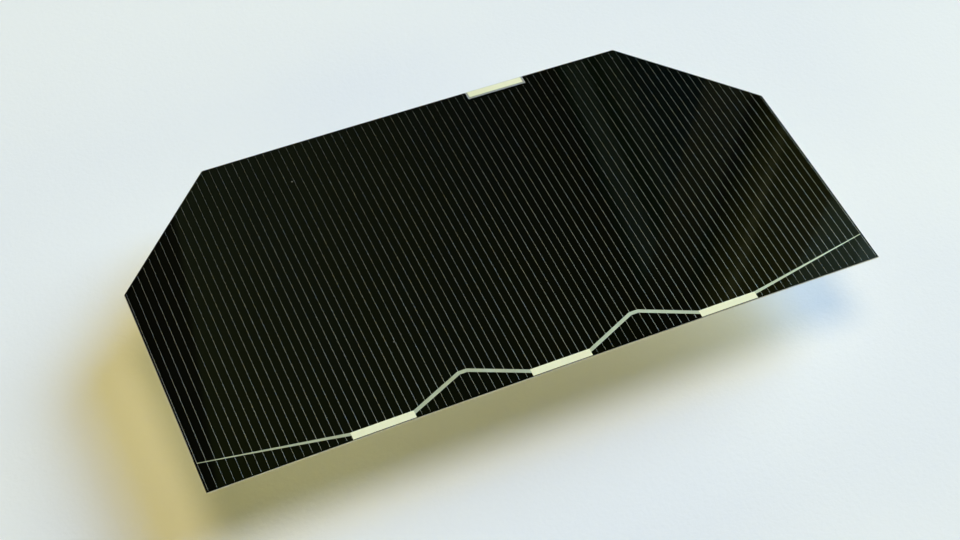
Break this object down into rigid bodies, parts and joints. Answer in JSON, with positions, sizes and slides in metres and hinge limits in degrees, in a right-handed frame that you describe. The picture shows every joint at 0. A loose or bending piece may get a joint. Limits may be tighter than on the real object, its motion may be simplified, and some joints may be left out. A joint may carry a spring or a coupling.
{
  "type": "bare multi-junction solar cell",
  "caption": "Thin rectangular solar cell with two cropped corners, fine grid fingers, sloping busbars and edge contact pads.",
  "frame": {"origin": "on the rear face, under the middle of the cell's bounding box", "axes": "+X along the straight long edge, +Y towards the edge with the cropped corners, +Z out of the sun side"},
  "size_m": [0.08, 0.04, 0.0002],
  "materials": {
    "rear_silver": "satin",
    "seed_metal": "satin",
    "germanium": "matte",
    "epitaxial_layers": "gloss",
    "coating": "gloss",
    "contact_cap": "satin",
    "finger_silver": "satin",
    "busbar_silver": "satin",
    "pad_silver": "matte"
  },
  "bodies": {
    "root": {"rear_contact": "rear_silver", "rear_seed_layer": "seed_metal", "germanium_wafer": "germanium", "nucleation_layer": "epitaxial_layers", "buffer_layer": "epitaxial_layers", "lower_tunnel_junction": "epitaxial_layers", "middle_cell": "epitaxial_layers", "upper_tunnel_junction": "epitaxial_layers", "top_cell": "epitaxial_layers", "window_layer": "epitaxial_layers", "antireflection_coating": "coating", "finger_cap_strips": "contact_cap", "busbar_cap_strips": "contact_cap", "grid_fingers": "finger_silver", "left_busbar": "busbar_silver", "right_busbar": "busbar_silver", "left_arch": "busbar_silver", "right_arch": "busbar_silver", "left_pad": "pad_silver", "centre_pad": "pad_silver", "right_pad": "pad_silver", "bypass_diode": "epitaxial_layers", "bypass_diode_cap": "contact_cap", "bypass_diode_pad": "pad_silver"}
  },
  "joints": []
}
